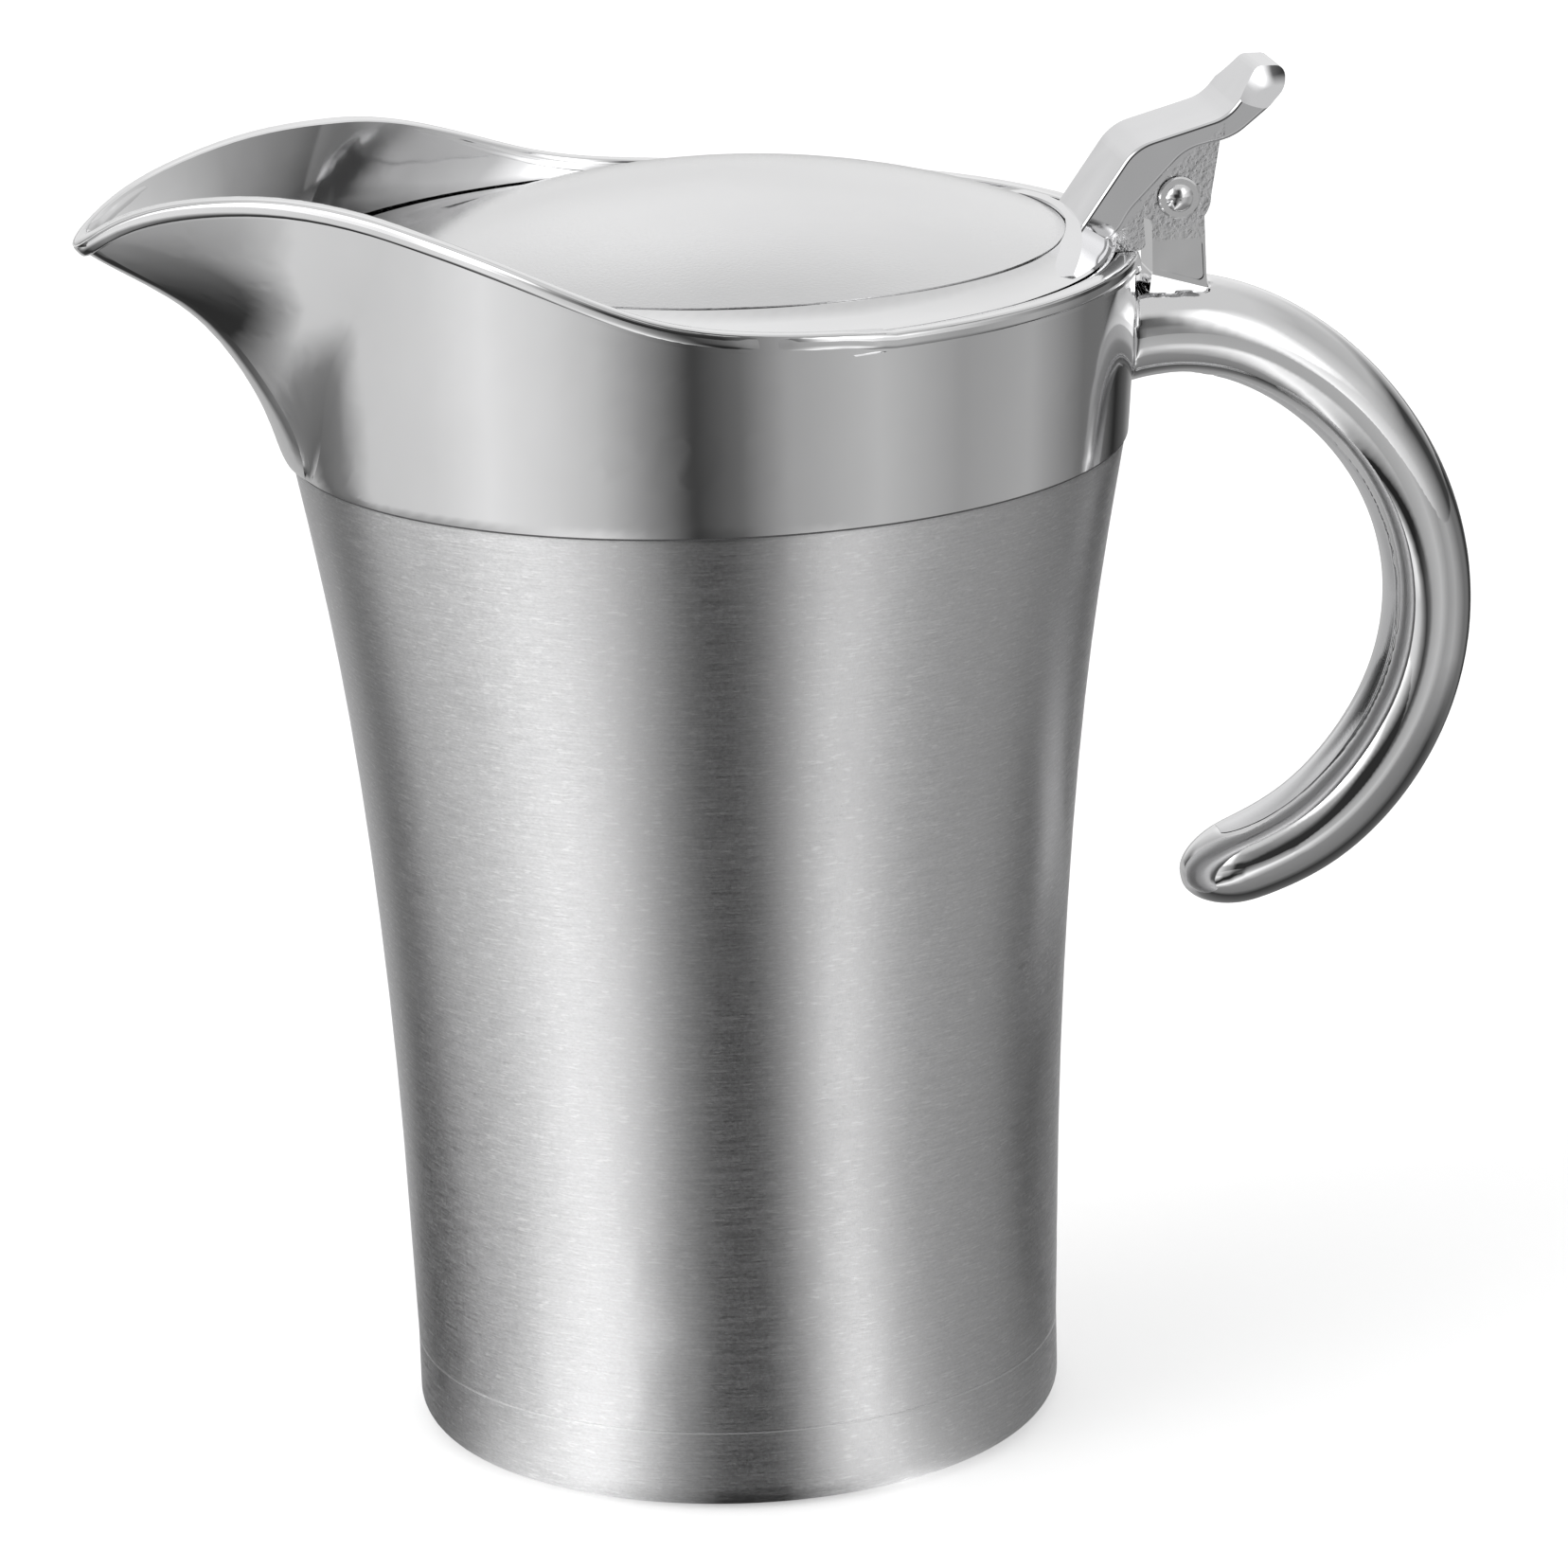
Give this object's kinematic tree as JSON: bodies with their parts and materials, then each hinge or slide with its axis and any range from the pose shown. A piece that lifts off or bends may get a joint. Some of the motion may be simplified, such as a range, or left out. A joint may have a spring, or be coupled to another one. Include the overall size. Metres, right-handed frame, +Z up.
{
  "type": "insulated gravy boat",
  "caption": "Double-walled steel gravy boat with a chromed pouring collar, open C-shaped handle and a domed lid hinged at the back, opened by a thumb lever.",
  "frame": {"origin": "centre of the base on the jug's axis, at the face it stands on", "axes": "+Z up along the jug's axis, -X towards the spout, +X towards the handle, XZ the plane of symmetry"},
  "size_m": [0.1906, 0.1178, 0.1863],
  "materials": {
    "brushed_shell": "fine circumferential brushing",
    "satin_liner": "satin, electropolished inside",
    "silicone": "matt food-grade silicone",
    "bright_chrome": "mirror chrome on a moulded collar and cast handle",
    "bright_chrome_insert": "mirror chrome strip",
    "bright_chrome_lid": "mirror chrome brim",
    "dark_plastic": "moulded, fine matt texture",
    "screw_steel": "plain steel",
    "cast_chrome": "chromed die casting with a fine sand texture at the top",
    "cast_chrome_lever": "chromed die casting, mirror on top and sand-textured on the ears",
    "pin_steel": "polished rivet",
    "satin_lid": "soft satin polish"
  },
  "bodies": {
    "jug": {"base_cup": "brushed_shell", "outer_shell": "brushed_shell", "inner_liner": "satin_liner", "neck_gasket": "silicone", "collar": "bright_chrome", "seat_ring": "dark_plastic", "handle": "bright_chrome", "handle_insert": "bright_chrome_insert", "handle_screws": "screw_steel", "hinge_post": "cast_chrome", "post_screw": "screw_steel", "hinge_pin": "pin_steel"},
    "lid": {"lid_brim": "bright_chrome_lid", "lid_dome": "satin_lid", "lid_plug": "dark_plastic", "lid_gasket": "silicone", "thumb_lever": "cast_chrome_lever", "lever_screws": "screw_steel"}
  },
  "joints": [
    {"name": "lid_hinge", "type": "hinge", "parent": "jug", "child": "lid", "pos_m": [0.0643, 0, 0.1692], "axis": [0, 1, 0], "range_deg": [0, 80]}
  ]
}
